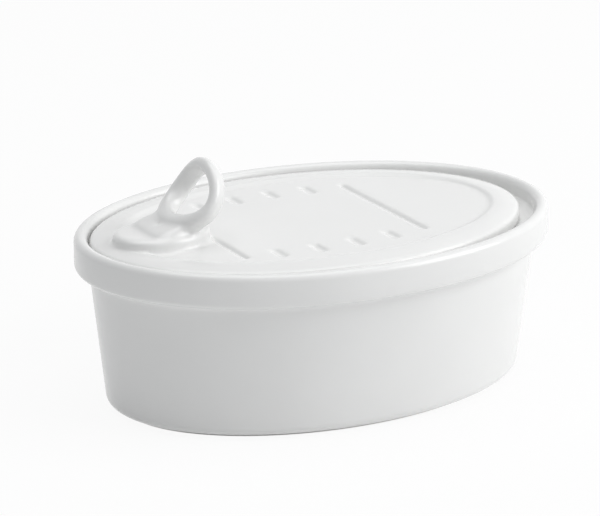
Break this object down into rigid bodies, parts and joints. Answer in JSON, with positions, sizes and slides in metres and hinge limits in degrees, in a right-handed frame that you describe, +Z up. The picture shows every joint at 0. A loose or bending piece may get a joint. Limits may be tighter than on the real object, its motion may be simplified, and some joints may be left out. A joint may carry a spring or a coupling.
{
  "type": "porcelain sardine-tin dish with lid",
  "caption": "Oval white porcelain lidded dish in the form of a sardine tin: thick rim, sunken lid with grooved relief and an upright ring-pull handle.",
  "frame": {"origin": "centre of the oval foot, in the plane that it stands on", "axes": "+Z up, +X along the long axis of the oval, away from the ring handle's end"},
  "size_m": [0.16, 0.113, 0.0802],
  "materials": {
    "glazed_porcelain": "smooth glossy clear glaze over white porcelain"
  },
  "bodies": {
    "root": {"dish": "glazed_porcelain", "lid": "glazed_porcelain"}
  },
  "joints": []
}
